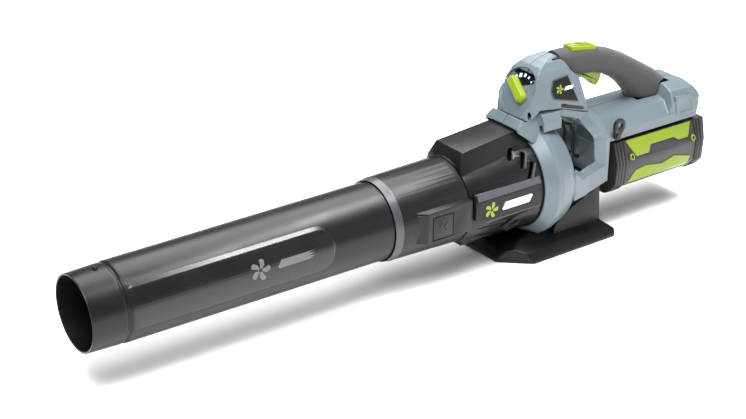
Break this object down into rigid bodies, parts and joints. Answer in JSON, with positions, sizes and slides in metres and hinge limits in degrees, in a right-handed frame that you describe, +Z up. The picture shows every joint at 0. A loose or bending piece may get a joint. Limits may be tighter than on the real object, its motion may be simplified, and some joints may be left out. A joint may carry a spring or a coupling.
{
  "type": "hand-held leaf blower",
  "caption": "Hand-held battery leaf blower: straight nozzle tube, axial fan housing, moulded handle with trigger and speed dial, foot and slide-in battery pack.",
  "frame": {"origin": "on the floor, under the middle of the foot, in the machine's middle plane", "axes": "+Z up, -X along the fan axis towards the nozzle, -Y the machine's left side"},
  "size_m": [0.9009, 0.155, 0.2499],
  "materials": {
    "blower_tube": "satin",
    "tube_coupler": "satin",
    "tube_seal": "matte",
    "tube_latch_left": "satin",
    "tube_latch_right": "satin",
    "latch_pins": "polished",
    "latch_springs": "satin",
    "fan_housing": "satin",
    "badge_plate_left": "satin",
    "badge_plate_right": "satin",
    "flow_liner": "satin",
    "stator_vanes": "satin",
    "nose_cone": "satin",
    "motor_stator": "wound copper",
    "motor_bearings": "ground",
    "motor_rotor": "turned",
    "motor_shaft": "ground",
    "impeller": "satin",
    "impeller_nut": "plated",
    "inlet_bell": "satin",
    "body_shell_left": "fine texture",
    "body_shell_right": "fine texture",
    "head_shell_left": "fine texture",
    "head_shell_right": "fine texture",
    "badge_window_left": "glossy",
    "badge_window_right": "glossy",
    "vent_grilles": "satin",
    "scale_window": "glossy",
    "speed_dial": "satin",
    "dial_potentiometer": "satin",
    "control_board": "solder mask",
    "handle_core": "satin",
    "grip_overmould": "soft matte",
    "trigger": "satin",
    "trigger_pin": "ground",
    "trigger_switch": "satin",
    "trigger_spring": "wire",
    "turbo_button": "satin",
    "turbo_switch": "satin",
    "turbo_spring": "wire",
    "strap_eyelet": "satin",
    "eyelet_screw": "blackened",
    "foot": "fine texture",
    "foot_screws": "blackened",
    "terminal_block": "satin",
    "battery_rails": "satin",
    "battery_latch": "satin",
    "battery_latch_pin": "ground",
    "battery_latch_spring": "wire",
    "power_cables": "matte",
    "pack_case": "fine texture",
    "pack_front_cap": "fine texture",
    "pack_rear_cap": "fine texture",
    "pack_panels_upper": "satin",
    "pack_panels_lower": "satin",
    "pack_studs": "satin",
    "pack_cells": "shrink sleeve",
    "pack_cell_frames": "satin",
    "pack_contacts": "plated",
    "body_screws": "blackened"
  },
  "bodies": {
    "body": {"fan_housing": "fan_housing", "badge_plate_left": "badge_plate_left", "badge_plate_right": "badge_plate_right", "flow_liner": "flow_liner", "stator_vanes": "stator_vanes", "nose_cone": "nose_cone", "motor_stator": "motor_stator", "motor_bearings": "motor_bearings", "inlet_bell": "inlet_bell", "body_shell_left": "body_shell_left", "body_shell_right": "body_shell_right", "head_shell_left": "head_shell_left", "head_shell_right": "head_shell_right", "badge_window_left": "badge_window_left", "badge_window_right": "badge_window_right", "vent_grilles": "vent_grilles", "scale_window": "scale_window", "dial_potentiometer": "dial_potentiometer", "control_board": "control_board", "handle_core": "handle_core", "grip_overmould": "grip_overmould", "trigger_pin": "trigger_pin", "trigger_switch": "trigger_switch", "trigger_spring": "trigger_spring", "turbo_switch": "turbo_switch", "turbo_spring": "turbo_spring", "strap_eyelet": "strap_eyelet", "eyelet_screw": "eyelet_screw", "foot": "foot", "foot_screws": "foot_screws", "terminal_block": "terminal_block", "battery_rails": "battery_rails", "battery_latch_pin": "battery_latch_pin", "battery_latch_spring": "battery_latch_spring", "power_cables": "power_cables", "body_screws": "body_screws"},
    "tube": {"blower_tube": "blower_tube", "tube_coupler": "tube_coupler", "tube_seal": "tube_seal", "latch_pins": "latch_pins", "latch_springs": "latch_springs"},
    "tube_latch_left_body": {"tube_latch_left": "tube_latch_left"},
    "tube_latch_right_body": {"tube_latch_right": "tube_latch_right"},
    "rotor": {"motor_rotor": "motor_rotor", "motor_shaft": "motor_shaft", "impeller": "impeller", "impeller_nut": "impeller_nut"},
    "dial": {"speed_dial": "speed_dial"},
    "trigger_body": {"trigger": "trigger"},
    "turbo": {"turbo_button": "turbo_button"},
    "pack_latch": {"battery_latch": "battery_latch"},
    "pack": {"pack_case": "pack_case", "pack_front_cap": "pack_front_cap", "pack_rear_cap": "pack_rear_cap", "pack_panels_upper": "pack_panels_upper", "pack_panels_lower": "pack_panels_lower", "pack_studs": "pack_studs", "pack_cells": "pack_cells", "pack_cell_frames": "pack_cell_frames", "pack_contacts": "pack_contacts"}
  },
  "joints": [
    {"name": "tube_slide", "type": "slide", "parent": "body", "child": "tube", "axis": [-1, 0, 0], "range_m": [0, 0.048]},
    {"name": "tube_latch_left_press", "type": "hinge", "parent": "tube", "child": "tube_latch_left_body", "pos_m": [-0.1929, -0.0563, 0.09], "axis": [0, 0, 1], "range_deg": [-4, 0], "stiffness_Nm_per_rad": 0.4, "springref_deg": 5.73},
    {"name": "tube_latch_right_press", "type": "hinge", "parent": "tube", "child": "tube_latch_right_body", "pos_m": [-0.1929, 0.0563, 0.09], "axis": [0, 0, 1], "range_deg": [0, 4], "stiffness_Nm_per_rad": 0.4, "springref_deg": -5.73},
    {"name": "fan_spin", "type": "hinge", "parent": "body", "child": "rotor", "pos_m": [-0.0435, 0, 0.09], "axis": [1, 0, 0], "continuous": true},
    {"name": "dial_turn", "type": "hinge", "parent": "body", "child": "dial", "pos_m": [-0.03064, 0, 0.20691], "axis": [-0.8517, 0, 0.524], "range_deg": [-110, 0]},
    {"name": "trigger_pull", "type": "hinge", "parent": "body", "child": "trigger_body", "pos_m": [0.0608, 0, 0.2155], "axis": [0, -1, 0], "range_deg": [0, 8], "stiffness_Nm_per_rad": 0.5, "springref_deg": -11.46},
    {"name": "turbo_press", "type": "slide", "parent": "body", "child": "turbo", "axis": [-0.1564, 0, -0.9877], "range_m": [0, 0.003], "stiffness_N_per_m": 400, "springref_m": -0.004},
    {"name": "pack_latch_press", "type": "hinge", "parent": "body", "child": "pack_latch", "pos_m": [0.221, 0, 0.148], "axis": [0, 1, 0], "range_deg": [0, 14], "stiffness_Nm_per_rad": 0.6, "springref_deg": -11.46},
    {"name": "pack_slide", "type": "slide", "parent": "body", "child": "pack", "axis": [1, 0, 0], "range_m": [0, 0.175]}
  ]
}
